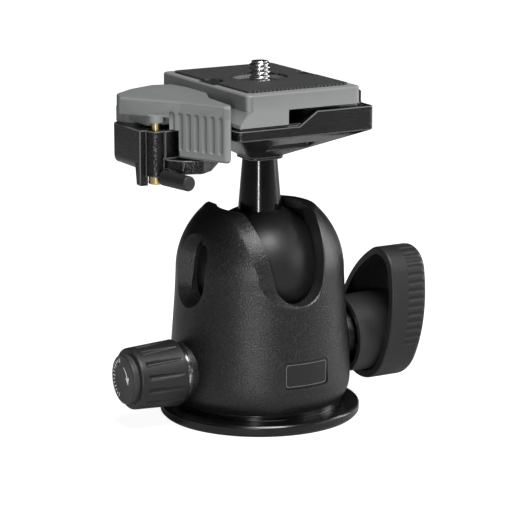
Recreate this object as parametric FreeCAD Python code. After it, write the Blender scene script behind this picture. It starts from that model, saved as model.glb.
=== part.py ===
import FreeCAD, Part
import math
import os

os.makedirs("parts", exist_ok=True)
V = FreeCAD.Vector

# Lengths in millimetres. The origin is the middle of the base underside, +Z is up.
# -Y is the side of the front drop notch, -X the side of the lever, window and friction knob,
# +X the side of the wing shaped lock knob.

# working gaps
RUN = 0.05            # running fit, radial
SEAT = 0.02           # faces that rest on each other
FREE = 0.3            # clear gap between fixed curved faces

# base disc and tripod bush
BASE_R = 30.0
BASE_T = 3.4
BASE_BEVEL = 0.9
COLLAR_R = 24.2
COLLAR_TOP = 5.0
BOSS_TOP = 14.0
FLOOR_Z = 10.0
BUSH_R = 6.0
BUSH_BORE_R = 4.0
BUSH_TOP = 9.4
BASE_SCREW_RING = 22.4
BASE_SCREW_R = 1.25
BASE_SCREW_HEAD_R = 2.4

# housing
BALL_Z = 44.0
DOME_R = 25.2
CAVITY_R = 21.0
OPENING_R = 12.8
RIM_RISE = 19.4
RIM_Z = BALL_Z + RIM_RISE
RIM_DROP = 1.0
NOTCH_R = 7.9
NOTCH_Z = 45.3
NOTCH_LEAN = 9.5
WINDOW_Y = -1.6
WINDOW_Z = 46.0
WINDOW_X = -20.6
WINDOW_DEPTH = 5.4
WINDOW_LEAN = 10.0
WINDOW_OUT = (19.0, 26.0)
WINDOW_IN = (9.4, 17.2)
LABEL_X = 0.9
LABEL_HALF_X = 7.4
LABEL_Z = 17.3
LABEL_HALF_Z = 3.85
LABEL_R = 25.9
LABEL_FACE_R = 26.7

# ball, stem and seats
BALL_R = 19.5
STEM_FOOT_R = 6.5
STEM_TOP_R = 5.2
STEM_RISE = 33.6
STEM_TOP = BALL_Z + STEM_RISE
SOCKET_RISE = 14.0
SOCKET_Z = BALL_Z + SOCKET_RISE
SEAT_IN_R = 19.6
LINER_IN_R = 19.53
LINER_OUT_R = 20.7
LINER_ANGLE = 48.0
CUP_IN_R = 20.74
CUP_TOP = 32.4
STUD_R = 2.9
STUD_HEAD_R = 4.6
STUD_HEAD_T = 3.6
STUD_DROP = 17.6
STUD_LOW = BALL_Z - STUD_DROP
STUD_KEY = 3.0
STUD_KEY_DEEP = 2.0

# lock train
LOCK_Z = 20.0
WEDGE_SLOPE = 0.14
WEDGE_HALF = 6.5
WEDGE_X0 = -12.0
NUT_X0 = 12.6
NUT_X1 = 18.6
NUT_TOP = 23.1
CUP_PAD = 7.0
CUP_PAD_Z = 20.6
SHAFT_R = 4.0
SHAFT_TIP_R = 2.5
LOCK_BUSH_R = 6.4
LOCK_BUSH_X1 = 28.9
KNOB_HUB_X = 28.5
KNOB_HUB_R = 11.6
KNOB_FACE_X = 35.6
KNOB_END_X = 48.4
KNOB_LOW_R = 14.6
KNOB_TIP = (-9.6, 20.2)
KNOB_TIP_R = 8.0
KNOB_FLANK_R = 42.0
KNOB_WALL = 2.2
KNOB_FLUTE_R = 1.1
KNOB_FLUTE_STEP = 2.5
KNOB_FLUTE_DEPTH = 0.35

# friction train
FRIC_Z = 15.6
FRIC_X0 = -29.0
FRIC_X1 = -44.2
FRIC_R_IN = 9.9
FRIC_R_OUT = 9.1
FRIC_CAP_R = 7.4
FRIC_CAP_X = -46.1
FRIC_BOSS_R = 8.8
FRIC_WASHER_R = 8.1
FRIC_BOSS_X = -27.4
FRIC_BUSH_R = 5.2
SCREW_R = 2.5
PLUNGER_R = 3.9
PLUNGER_X0 = -24.5
PLUNGER_X1 = -15.6

# clamp casting
CL_X0 = -22.0
CL_X1 = 23.4
CL_Y = 26.5
CL_CORNER = 2.0
CL_WELL_Y = 23.2
CL_FOOT_Z = STEM_TOP
CL_RISE = 10.4
CL_LOW = CL_FOOT_Z + CL_RISE
CL_BAND = 3.0
CL_RIM = CL_LOW + CL_BAND
CL_LAND = 0.78
CL_FLOOR = CL_RIM + CL_LAND
CL_WALL_RISE = 4.0
CL_HIGH = CL_RIM + CL_WALL_RISE
CL_FOOT_HALF = 5.8
SLOT_X = (-4.4, 7.2)
SLOT_RISE = 5.6
SLOT_Z = CL_FOOT_Z + SLOT_RISE
SLOT_R = 1.5
SLOT_Y = -13.0
HOOK_RISE = 3.8
HOOK_TOP = CL_HIGH + HOOK_RISE
HOOK_HALF_Y = 20.0
EXT_X = -43.6
EXT_STEP = 0.6
EXT_TOP = CL_RIM - EXT_STEP
EXT_DEEP = 12.0
EXT_LOW = EXT_TOP - EXT_DEEP
WEB_DEEP = 5.0
EXT_Y0 = -5.5
EXT_Y1 = 15.0
EXT_ROUND = 21.3
SHELF_T = 4.0
SHELF_TOP = EXT_LOW + SHELF_T
PIVOT = (-37.0, 10.0)
PIVOT_R = 2.5
PIVOT_SEAT = 2.0
SAFE = (-38.9, -8.4)
SAFE_R = 1.2
SAFE_RISE = 2.2
SAFE_TOP = EXT_TOP + SAFE_RISE
SAFE_BOSS_R = 2.7
SAFE_DROP = 1.3
SAFE_LOW = EXT_LOW - SAFE_DROP
SAFE_HEAD_R = 2.2
ARM_Z = SAFE_LOW
ARM_R = 2.2
ARM_REACH = 15.4
ARM_SPIGOT_R = 0.7
ARM_ANGLE = math.radians(-79.75)
ARM_WAY = V(math.cos(ARM_ANGLE), math.sin(ARM_ANGLE), 0)
FIN_DROP = 4.2
FIN_LOW = EXT_LOW - FIN_DROP
FIN_T = 3.2
NUT_R = 5.2
NUT_T = 2.6
NUT_RECESS = 4.0
STUD_END = 2.2
TRIG = (-17.2, 8.0)
TRIG_R = 1.6
TRIG_DEEP = 6.0
TRIG_LONG = 4.0

# grey lever
LEV_GAP = 3.8
LEV_UNDER = EXT_TOP + LEV_GAP
LEV_T = 4.8
LEV_TOP = LEV_UNDER + LEV_T
LEV_SKIN = 1.6
HUB_WALL = 2.2
GRIP_R = 21.6
GRIP_GAP = 0.3
GRIP_LOW = SHELF_TOP + GRIP_GAP
GRIP_ROOF = 1.2
GRIP_STEP_R = 20.1
GRIP_STEP_LOW = EXT_TOP + GRIP_GAP
GRIP_TIP = (-26.4, -29.4)
GRIP_BEND = (-34.0, -14.6)
FLUTE_R = 1.1
FLUTE_STEP = 2.72
FLUTE_FOOT = 3.1
FLUTE_LOW = GRIP_LOW + FLUTE_FOOT
FLUTE_HEAD = 4.0
FLUTE_HIGH = LEV_TOP - FLUTE_HEAD
FLUTE_COUNT = 7
FLUTE_START = 3.3

# quick release plate
PL_HALF_X = 18.9
PL_HALF_Y = 26.2
PL_FLARE = 21.3
PL_LOW = CL_FLOOR + SEAT
PL_FOOT = 4.3
PL_SLAB = PL_LOW + PL_FOOT
PL_T = 5.0
PL_TOP = PL_SLAB + PL_T
PAD_T = 0.6
PAD_TOP = PL_TOP + PAD_T
PAD_X = 16.7
PAD_Y = 22.8
PAD_HOLE_R = 8.2
CAM_SCREW_R = 3.175
CAM_SCREW_RISE = 4.7
CAM_SCREW_TOP = PAD_TOP + CAM_SCREW_RISE
CAM_HEAD_R = 7.2
CAM_HEAD_T = 2.6
PAD_WELL = 1.6
CLIP_Z = PL_TOP - PAD_WELL + SEAT
CLIP_T = 0.8
CLIP_GROOVE = 0.6
PAD_BITE_R = 4.5
PLATE_WEB = 7.5
RING_R = 5.6
RING_WIRE_R = 0.65

# ends of the cutters that pass right through the upper half
UNDER = CL_FOOT_Z - 20.0
OVER = CAM_SCREW_TOP + 5.0


def out(shape, name):
    shape = shape.removeSplitter()
    shape.exportStep("parts/" + name + ".step")


def box(x0, x1, y0, y1, z0, z1):
    return Part.makeBox(x1 - x0, y1 - y0, z1 - z0, V(x0, y0, z0))


def rod_z(r, z0, z1, x=0.0, y=0.0):
    return Part.makeCylinder(r, z1 - z0, V(x, y, z0), V(0, 0, 1))


def rod_x(r, x0, x1, z, y=0.0):
    return Part.makeCylinder(r, x1 - x0, V(x0, y, z), V(1, 0, 0))


def cone_x(ra, rb, x0, x1, z):
    return Part.makeCone(ra, rb, x1 - x0, V(x0, 0, z), V(1, 0, 0))


def spin(points, turn=360):
    """Solid of revolution about Z from (r, z) corners."""
    wire = Part.makePolygon([V(r, 0, z) for r, z in points] + [V(points[0][0], 0, points[0][1])])
    return Part.Face(wire).revolve(V(0, 0, 0), V(0, 0, 1), turn)


def prism(points, z0, z1, corner=0.0):
    """Upright prism over (x, y) corners, its upright edges rounded."""
    wire = Part.makePolygon([V(x, y, z0) for x, y in points] + [V(points[0][0], points[0][1], z0)])
    body = Part.Face(wire).extrude(V(0, 0, z1 - z0))
    return round_edges(body, corner, V(0, 0, 1)) if corner > 0 else body


def along(edge, way):
    a = edge.Vertexes[0].Point
    b = edge.Vertexes[-1].Point
    d = b.sub(a)
    return d.Length > 1e-6 and abs(d.normalize().dot(way)) > 0.999


def round_edges(body, r, way=None, keep=None):
    """Round the straight edges that run along a direction, or those that keep() picks."""
    if keep is None:
        picked = [e for e in body.Edges if len(e.Vertexes) == 2 and along(e, way)]
    else:
        picked = [e for e in body.Edges if keep(e)]
    return body.makeFillet(r, picked)


def edge_at_z(z):
    def test(e):
        b = e.BoundBox
        return abs(b.ZMin - z) < 1e-4 and abs(b.ZMax - z) < 1e-4
    return test


def edge_at_x(x):
    def test(e):
        b = e.BoundBox
        return abs(b.XMin - x) < 1e-4 and abs(b.XMax - x) < 1e-4
    return test


def slot_wire(x, yc, zc, wide, high):
    """Upright slot outline in the plane at x, with half round ends."""
    r = wide / 2.0
    h = high / 2.0 - r
    a = V(x, yc - r, zc - h)
    b = V(x, yc - r, zc + h)
    c = V(x, yc + r, zc + h)
    d = V(x, yc + r, zc - h)
    top = Part.Arc(b, V(x, yc, zc + h + r), c).toShape()
    low = Part.Arc(d, V(x, yc, zc - h - r), a).toShape()
    return Part.Wire([Part.makeLine(a, b), top, Part.makeLine(c, d), low])


def ball(r):
    return Part.makeSphere(r, V(0, 0, BALL_Z), V(0, 0, 1), -90, 90, 360)


# fixed group
def make_housing():
    flank = [V(24.6, 0, COLLAR_TOP), V(26.7, 0, 8.6), V(27.05, 0, 15.0), V(26.4, 0, 25.0), V(25.6, 0, 36.0)]
    curve = Part.BSplineCurve()
    curve.interpolate(flank + [V(DOME_R, 0, BALL_Z)])
    edge_z = RIM_Z - RIM_DROP
    edge_r = math.sqrt(DOME_R ** 2 - (edge_z - BALL_Z) ** 2)
    rim_r = edge_r - 1.6 * RIM_DROP
    mid = math.radians(25.0)
    dome = Part.Arc(V(DOME_R, 0, BALL_Z), V(DOME_R * math.cos(mid), 0, BALL_Z + DOME_R * math.sin(mid)),
                    V(edge_r, 0, edge_z))
    roll = Part.Arc(V(edge_r, 0, edge_z), V(edge_r - 0.68 * RIM_DROP, 0, edge_z + 0.68 * RIM_DROP),
                    V(rim_r, 0, RIM_Z))
    cav_z = BALL_Z + math.sqrt(CAVITY_R ** 2 - OPENING_R ** 2)
    steep = math.radians(30.0)
    cave = Part.Arc(V(OPENING_R, 0, cav_z), V(CAVITY_R * math.cos(steep), 0, BALL_Z + CAVITY_R * math.sin(steep)),
                    V(CAVITY_R, 0, BALL_Z))
    wire = Part.Wire([
        curve.toShape(),
        dome.toShape(),
        roll.toShape(),
        Part.makeLine(V(rim_r, 0, RIM_Z), V(OPENING_R, 0, RIM_Z)),
        Part.makeLine(V(OPENING_R, 0, RIM_Z), V(OPENING_R, 0, cav_z)),
        cave.toShape(),
        Part.makeLine(V(CAVITY_R, 0, BALL_Z), V(CAVITY_R, 0, COLLAR_TOP)),
        Part.makeLine(V(CAVITY_R, 0, COLLAR_TOP), V(24.6, 0, COLLAR_TOP)),
    ])
    body = Part.Face(wire).revolve(V(0, 0, 0), V(0, 0, 1), 360)
    body = body.fuse(rod_x(FRIC_BOSS_R, FRIC_BOSS_X, -CAVITY_R - 1.0, FRIC_Z).cut(rod_z(CAVITY_R, 0.0, 50.0)))
    body = body.cut(notch_tool(0.0))
    body = body.cut(window_tool())
    body = body.cut(rod_x(LOCK_BUSH_R, CAVITY_R - 2.0, 35.0, LOCK_Z))
    body = body.cut(rod_x(FRIC_BUSH_R, -35.0, -CAVITY_R + 2.0, FRIC_Z))
    body = body.cut(label_block(FREE / 3.0, LABEL_R - SEAT, 30.0))
    for angle in (90, 210, 330):
        x = BASE_SCREW_RING * math.cos(math.radians(angle))
        y = BASE_SCREW_RING * math.sin(math.radians(angle))
        body = body.cut(rod_z(BASE_SCREW_R + SEAT, 0.0, 12.0, x, y))
    return body


def notch_tool(grow):
    """Slot through the dome from front to back, round at the bottom and wider towards the top."""
    r = NOTCH_R + grow
    lean = math.radians(NOTCH_LEAN)
    side_x = r * math.cos(lean)
    side_z = NOTCH_Z - r * math.sin(lean)
    high = 80.0
    high_x = side_x + math.tan(lean) * (high - side_z)
    corners = [(-side_x, side_z), (-high_x, high), (high_x, high), (side_x, side_z)]
    wire = Part.makePolygon([V(x, -35.0, z) for x, z in corners + corners[:1]])
    return rod_y(r, -35.0, 35.0, 0.0, NOTCH_Z).fuse(Part.Face(wire).extrude(V(0, 70.0, 0)))


def rod_y(r, y0, y1, x=0.0, z=BALL_Z):
    return Part.makeCylinder(r, y1 - y0, V(x, y0, z), V(0, 1, 0))


def window_tool():
    """Upright slot with round ends and a wide funnel that leans with the dome."""
    hole = Part.Face(slot_wire(-19.0, WINDOW_Y, WINDOW_Z, *WINDOW_IN)).extrude(V(-12.0, 0, 0))
    a = slot_wire(WINDOW_X, WINDOW_Y, WINDOW_Z, *WINDOW_IN)
    b = slot_wire(WINDOW_X - WINDOW_DEPTH, WINDOW_Y, WINDOW_Z, *WINDOW_OUT)
    funnel = Part.makeLoft([a, b], True, True)
    funnel.rotate(V(-23.0, 0, WINDOW_Z), V(0, 1, 0), WINDOW_LEAN)
    return hole.fuse(funnel)


def label_block(gap, back_r, face_r):
    blank = box(LABEL_X - LABEL_HALF_X - gap, LABEL_X + LABEL_HALF_X + gap, -32.0, -20.0,
                LABEL_Z - LABEL_HALF_Z - gap, LABEL_Z + LABEL_HALF_Z + gap)
    blank = round_edges(blank, 1.0, V(0, 1, 0))
    ring = rod_z(face_r, 5.0, 30.0).cut(rod_z(back_r, 4.0, 31.0))
    return blank.common(ring)


def make_label_plate():
    return label_block(0.0, LABEL_R, LABEL_FACE_R)


def make_base_disc():
    body = spin([(0, 0), (BASE_R - BASE_BEVEL, 0), (BASE_R, BASE_BEVEL), (BASE_R, BASE_T - BASE_BEVEL * 0.6),
                 (BASE_R - BASE_BEVEL * 0.6, BASE_T), (COLLAR_R, BASE_T), (COLLAR_R, COLLAR_TOP),
                 (CAVITY_R - RUN, COLLAR_TOP), (CAVITY_R - RUN, BOSS_TOP), (0, BOSS_TOP)])
    body = body.cut(box(-30, 30, -WEDGE_HALF - RUN, WEDGE_HALF + RUN, FLOOR_Z, 20.0))
    body = body.cut(rod_z(BUSH_R, 0.4, FLOOR_Z))
    body = body.cut(rod_z(BUSH_R + 1.0, -1.0, 0.4))
    body = body.cut(rod_x(FRIC_BUSH_R + FREE, -30.0, -18.0, FRIC_Z))
    body = body.cut(rod_x(LOCK_BUSH_R + FREE, 18.0, 30.0, LOCK_Z))
    for angle in (90, 210, 330):
        x = BASE_SCREW_RING * math.cos(math.radians(angle))
        y = BASE_SCREW_RING * math.sin(math.radians(angle))
        body = body.cut(rod_z(BASE_SCREW_R + FREE, 0.0, 6.0, x, y))
        body = body.cut(rod_z(BASE_SCREW_HEAD_R + FREE / 2.0, -1.0, 1.8, x, y))
    return body


def make_tripod_bush():
    body = rod_z(BUSH_R, 0.4, BUSH_TOP).fuse(rod_z(BUSH_R + 0.9, 0.0, 0.4))
    return body.cut(rod_z(BUSH_BORE_R, 0.0, 12.0))


def make_base_screws():
    screws = []
    for angle in (90, 210, 330):
        x = BASE_SCREW_RING * math.cos(math.radians(angle))
        y = BASE_SCREW_RING * math.sin(math.radians(angle))
        one = rod_z(BASE_SCREW_R, 0.4, 11.5, x, y).fuse(rod_z(BASE_SCREW_HEAD_R, 0.2, 1.8, x, y))
        one = one.cut(rod_z(1.0, 0.0, 1.0, x, y))
        screws.append(one)
    return Part.makeCompound(screws)


def make_upper_seat():
    """Sleeve between ball and housing, round above the middle of the ball and plain below it."""
    low = 33.0
    top_r = OPENING_R + 0.5
    z_out = BALL_Z + math.sqrt((CAVITY_R - SEAT) ** 2 - top_r ** 2)
    z_in = BALL_Z + math.sqrt(SEAT_IN_R ** 2 - top_r ** 2)
    mid = math.radians(28.0)
    ro = CAVITY_R - SEAT
    arc_out = Part.Arc(V(ro, 0, BALL_Z), V(ro * math.cos(mid), 0, BALL_Z + ro * math.sin(mid)), V(top_r, 0, z_out))
    ri = SEAT_IN_R
    arc_in = Part.Arc(V(top_r, 0, z_in), V(ri * math.cos(mid), 0, BALL_Z + ri * math.sin(mid)), V(ri, 0, BALL_Z))
    wire = Part.Wire([
        Part.makeLine(V(ro, 0, low), V(ro, 0, BALL_Z)),
        arc_out.toShape(),
        Part.makeLine(V(top_r, 0, z_out), V(top_r, 0, z_in)),
        arc_in.toShape(),
        Part.makeLine(V(ri, 0, BALL_Z), V(ri, 0, low)),
        Part.makeLine(V(ri, 0, low), V(ro, 0, low)),
    ])
    body = Part.Face(wire).revolve(V(0, 0, 0), V(0, 0, 1), 360)
    body = body.cut(notch_tool(0.5))
    hole = Part.Face(slot_wire(-15.0, WINDOW_Y, WINDOW_Z, WINDOW_IN[0] + 1.0, WINDOW_IN[1] + 1.0))
    return body.cut(hole.extrude(V(-12.0, 0, 0)))


def make_lock_bushing():
    body = rod_x(LOCK_BUSH_R - SEAT, CAVITY_R + 0.2, LOCK_BUSH_X1 - 1.2, LOCK_Z)
    body = body.fuse(rod_x(LOCK_BUSH_R + 1.4, LOCK_BUSH_X1 - 1.9, LOCK_BUSH_X1, LOCK_Z).cut(
        rod_z(27.25, 0.0, 50.0)))
    return body.cut(rod_x(SHAFT_R + RUN, 10.0, 40.0, LOCK_Z))


def make_friction_bushing():
    body = rod_x(FRIC_BUSH_R - SEAT, FRIC_BOSS_X - 0.2, -CAVITY_R - 0.2, FRIC_Z)
    body = body.cut(rod_x(PLUNGER_R + RUN, PLUNGER_X0 - 1.1, -10.0, FRIC_Z))
    return body.cut(rod_x(SCREW_R + RUN, -40.0, -10.0, FRIC_Z))


def make_friction_washer():
    body = rod_x(FRIC_WASHER_R, FRIC_BOSS_X - 1.2, FRIC_BOSS_X, FRIC_Z)
    body = body.cut(rod_x(FRIC_BUSH_R + FREE, -40.0, -20.0, FRIC_Z))
    return body


# lock train
def make_lock_wedge():
    lo = FLOOR_Z + SEAT
    ramp = [(WEDGE_X0, lo), (NUT_X1, lo), (NUT_X1, NUT_TOP), (NUT_X0, NUT_TOP), (NUT_X0, ramp_z(NUT_X0)),
            (WEDGE_X0, ramp_z(WEDGE_X0))]
    wire = Part.makePolygon([V(x, -WEDGE_HALF, z) for x, z in ramp + ramp[:1]])
    body = Part.Face(wire).extrude(V(0, 2 * WEDGE_HALF, 0))
    body = body.cut(rod_x(SHAFT_TIP_R + SEAT, NUT_X0 - 6.0, 30.0, LOCK_Z))
    pocket = rod_x(2.9, WEDGE_X0 - 1.0, WEDGE_X0 + 2.0, FRIC_Z)
    return body.cut(pocket)


def ramp_z(x):
    return CUP_PAD_Z - WEDGE_SLOPE * x - SEAT


def make_pressure_cup():
    r_out = CAVITY_R - RUN
    cone_top = 29.2
    body = spin([(0, 18.0), (CUP_PAD, 18.0), (CUP_PAD, CUP_PAD_Z), (r_out, cone_top), (r_out, CUP_TOP), (0, CUP_TOP)])
    body = body.cut(ball(CUP_IN_R))
    under = [(-30.0, 10.0), (30.0, 10.0), (30.0, CUP_PAD_Z - WEDGE_SLOPE * 30.0),
             (-30.0, CUP_PAD_Z + WEDGE_SLOPE * 30.0)]
    wire = Part.makePolygon([V(x, -30.0, z) for x, z in under + under[:1]])
    return body.cut(Part.Face(wire).extrude(V(0, 60.0, 0)))


def make_lock_shaft():
    body = rod_x(SHAFT_R, NUT_X1 + 1.6, KNOB_END_X - 6.0, LOCK_Z)
    body = body.fuse(rod_x(SHAFT_TIP_R, 11.2, NUT_X1 + 1.8, LOCK_Z))
    groove = rod_x(SHAFT_R + 1.0, CAVITY_R - 1.0, CAVITY_R, LOCK_Z).cut(rod_x(SHAFT_R - 0.7, 10.0, 40.0, LOCK_Z))
    return body.cut(groove)


def make_lock_clip():
    x1 = CAVITY_R - SEAT
    body = rod_x(SHAFT_R + 1.0, CAVITY_R - 0.9, x1, LOCK_Z).cut(rod_x(SHAFT_R - 0.68, 10.0, 40.0, LOCK_Z))
    return body.cut(box(10.0, 30.0, -1.6, 1.6, LOCK_Z, LOCK_Z + 8.0))


def drop_outline(x, grow):
    """Wing outline in the plane at x: a large round about the axis, a small one at the tip, full flanks."""
    low = V(x, 0.0, LOCK_Z)
    tip = V(x, KNOB_TIP[0], LOCK_Z + KNOB_TIP[1])
    line = tip.sub(low)
    span = line.Length
    line.normalize()
    across = V(0, -line.z, line.y)
    to_low = KNOB_FLANK_R - KNOB_LOW_R
    to_tip = KNOB_FLANK_R - KNOB_TIP_R
    run = (to_low ** 2 - to_tip ** 2 + span ** 2) / (2.0 * span)
    off = math.sqrt(to_low ** 2 - run ** 2)
    ends = []
    for side in (1, -1):
        middle = low + line * run + across * (side * off)
        out_r = KNOB_FLANK_R + grow
        ends.append((middle + (low - middle) * (out_r / to_low), middle - across * (side * out_r),
                     middle + (tip - middle) * (out_r / to_tip)))
    foot = low - line * (KNOB_LOW_R + grow)
    head = tip + line * (KNOB_TIP_R + grow)
    return Part.Wire([
        Part.Arc(ends[0][0], foot, ends[1][0]).toShape(),
        Part.Arc(*ends[1]).toShape(),
        Part.Arc(ends[1][2], head, ends[0][2]).toShape(),
        Part.Arc(ends[0][2], ends[0][1], ends[0][0]).toShape(),
    ])


def make_lock_knob():
    shell = Part.Face(drop_outline(KNOB_FACE_X, 0.0)).extrude(V(KNOB_END_X - KNOB_FACE_X, 0, 0))
    shell = round_edges(shell, 2.4, keep=edge_at_x(KNOB_END_X))
    shell = round_edges(shell, 0.8, keep=edge_at_x(KNOB_FACE_X))
    hollow = Part.Face(drop_outline(KNOB_FACE_X - 1.0, -KNOB_WALL)).extrude(V(9.6, 0, 0))
    hub = cone_x(KNOB_HUB_R, KNOB_HUB_R + 0.7, KNOB_HUB_X, KNOB_FACE_X + 9.0, LOCK_Z)
    body = shell.cut(hollow).fuse(hub)
    body = body.cut(knob_flutes())
    body = body.cut(rod_x(KNOB_HUB_R - 1.5, 20.0, KNOB_FACE_X - 2.0, LOCK_Z))
    return body.cut(rod_x(SHAFT_R + SEAT, 20.0, KNOB_END_X - 6.0, LOCK_Z))


def knob_flutes():
    """Shallow grip flutes round the wing, near its outer end."""
    rail = drop_outline(0.0, KNOB_FLUTE_R - KNOB_FLUTE_DEPTH)
    places = [p for p in rail.discretize(Distance=KNOB_FLUTE_STEP) if p.z > LOCK_Z - 3.0]
    tools = [rod_x(KNOB_FLUTE_R, KNOB_END_X - 7.0, KNOB_END_X + 1.0, p.z, p.y) for p in places]
    return Part.makeCompound(tools)


def make_lock_cap():
    return rod_x(5.0, KNOB_END_X, KNOB_END_X + 0.5, LOCK_Z)


# friction train
def make_friction_knob():
    body = cone_x(FRIC_R_OUT, FRIC_R_IN, FRIC_X1, FRIC_X0, FRIC_Z)
    body = body.makeFillet(0.6, [e for e in body.Edges if edge_at_x(FRIC_X1)(e) or edge_at_x(FRIC_X0)(e)])
    for n in range(14):
        a = 2 * math.pi * (n + 0.5) / 14
        tool = rod_x(0.75, FRIC_X1 + 2.4, FRIC_X0 - 2.6, 0.0)
        tool.translate(V(0, 9.75 * math.cos(a), FRIC_Z + 9.75 * math.sin(a)))
        body = body.cut(tool)
    body = body.cut(rod_x(FRIC_BUSH_R + 0.6, FRIC_X0 - 1.0, -20.0, FRIC_Z))
    return body.cut(rod_x(SCREW_R + SEAT, FRIC_X1 + 3.0, -20.0, FRIC_Z))


def make_friction_cap():
    body = rod_x(FRIC_CAP_R, FRIC_CAP_X, FRIC_X1, FRIC_Z)
    return body.makeFillet(0.5, [e for e in body.Edges if edge_at_x(FRIC_CAP_X)(e)])


def make_friction_screw():
    body = rod_x(SCREW_R, FRIC_X1 + 3.2, -19.0, FRIC_Z)
    return body.fuse(rod_x(SCREW_R - 0.7, -19.2, -18.2, FRIC_Z))


def make_friction_plunger():
    body = rod_x(PLUNGER_R, PLUNGER_X0, PLUNGER_X1, FRIC_Z)
    return body.cut(rod_x(SCREW_R + SEAT, PLUNGER_X0 - 1.0, PLUNGER_X1 - 1.4, FRIC_Z))


def coil(r, wire_r, length, turns):
    """Round wire coil about Z, standing on the XY plane, in one piece."""
    rise = length - 2.0 * wire_r
    path = Part.makeHelix(rise / turns, rise, r)
    path.translate(V(0, 0, wire_r))
    ring = Part.Wire(Part.makeCircle(wire_r, V(r, 0, wire_r), V(0, 1, 0)))
    return Part.Wire(path.Edges).makePipeShell([ring], True, True)


def make_friction_spring():
    x0 = PLUNGER_X1 + SEAT
    x1 = WEDGE_X0 + 2.0 - SEAT
    spring = coil(2.1, 0.45, x1 - x0, 3.0)
    spring.rotate(V(0, 0, 0), V(0, 1, 0), 90.0)
    spring.translate(V(x0, 0, FRIC_Z))
    return spring


# ball group
def make_ball_liner():
    body = ball(LINER_OUT_R).cut(ball(LINER_IN_R))
    a = math.radians(LINER_ANGLE)
    reach = 40.0
    cone = Part.makeCone(0.0, reach * math.tan(a), reach, V(0, 0, BALL_Z), V(0, 0, -1))
    return body.common(cone)


def make_stem_stud():
    body = rod_z(STUD_R, STUD_LOW + SEAT, CL_LOW - STUD_END)
    body = body.fuse(rod_z(STUD_HEAD_R, STUD_LOW, STUD_LOW + STUD_HEAD_T))
    half = STUD_KEY / 2.0
    return body.cut(box(-half, half, -half, half, STUD_LOW - 1.0, STUD_LOW + STUD_KEY_DEEP))


def make_stud_nut():
    body = rod_z(NUT_R, CL_LOW - NUT_RECESS, CL_LOW - NUT_RECESS + NUT_T)
    return body.cut(rod_z(STUD_R + SEAT, UNDER, CL_LOW - STUD_END + SEAT))


def make_ball():
    body = ball(BALL_R)
    body = body.cut(rod_z(STUD_R + RUN, BALL_Z - 2 * BALL_R, BALL_Z + 2 * BALL_R))
    body = body.cut(rod_z(STUD_HEAD_R + RUN, BALL_Z - 2 * BALL_R, STUD_LOW + STUD_HEAD_T + SEAT))
    return body.cut(rod_z(STEM_FOOT_R - 1.0, SOCKET_Z, BALL_Z + 2 * BALL_R))


def make_stem():
    top = BALL_Z + math.sqrt(BALL_R ** 2 - STEM_FOOT_R ** 2)
    cone = spin([(0, top - 1.0), (STEM_FOOT_R + 0.07, top - 1.0), (STEM_TOP_R, STEM_TOP), (0, STEM_TOP)])
    body = cone.cut(ball(BALL_R)).fuse(rod_z(STEM_FOOT_R - 1.0 - SEAT, SOCKET_Z + SEAT, top + 1.0))
    return body.cut(rod_z(STUD_R + RUN, BALL_Z, STEM_TOP + 1.0))


# clamp
def make_clamp_base():
    foot = box(-CL_FOOT_HALF, CL_FOOT_HALF, -CL_FOOT_HALF, CL_FOOT_HALF, CL_FOOT_Z + SEAT, CL_FOOT_Z + 1.0)
    foot = round_edges(foot, 3.0, V(0, 0, 1))
    wide = round_edges(box(CL_X0, CL_X1, -CL_Y, CL_Y, CL_LOW, CL_RIM), CL_CORNER, V(0, 0, 1))
    low = [f for f in foot.Faces if abs(f.BoundBox.ZMin - f.BoundBox.ZMax) < 1e-6 and f.BoundBox.ZMin > CL_FOOT_Z + 0.9]
    high = [f for f in wide.Faces if abs(f.BoundBox.ZMin - CL_LOW) < 1e-6 and abs(f.BoundBox.ZMax - CL_LOW) < 1e-6]
    hull = Part.makeLoft([low[0].OuterWire, high[0].OuterWire], True, True)
    body = foot.fuse([wide, hull])
    body = body.fuse(box(CL_X0 + 1.5, CL_X1 - 1.5, -CL_Y + 1.5, CL_Y - 1.5, CL_RIM - 0.5, CL_FLOOR))
    body = body.fuse(fixed_jaw())
    body = body.fuse(extension())
    body = body.cut(plate_room())
    body = body.cut(rod_z(STUD_R + RUN, UNDER, OVER))
    body = body.cut(rod_z(NUT_R + FREE, CL_LOW - NUT_RECESS - SEAT, OVER))
    slot = Part.Face(slot_side(-30.0)).extrude(V(0, 30.0 + SLOT_Y, 0))
    body = body.cut(slot)
    body = body.cut(rod_z(TRIG_R + RUN, CL_RIM - TRIG_DEEP, OVER, TRIG[0], TRIG[1]))
    body = body.cut(rod_z(PIVOT_R + SEAT, EXT_LOW + PIVOT_SEAT, OVER, PIVOT[0], PIVOT[1]))
    return body.cut(rod_z(SAFE_R + RUN, UNDER, OVER, SAFE[0], SAFE[1]))


def slot_side(y):
    """Level slot outline in the plane at y, cut into the sloping front of the casting."""
    zc = SLOT_Z
    r = SLOT_R
    x0, x1 = SLOT_X
    up = Part.makeLine(V(x0, y, zc + r), V(x1, y, zc + r))
    down = Part.makeLine(V(x1, y, zc - r), V(x0, y, zc - r))
    right = Part.Arc(V(x1, y, zc + r), V(x1 + r, y, zc), V(x1, y, zc - r)).toShape()
    left = Part.Arc(V(x0, y, zc - r), V(x0 - r, y, zc), V(x0, y, zc + r)).toShape()
    return Part.Wire([up, right, down, left])


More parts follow.
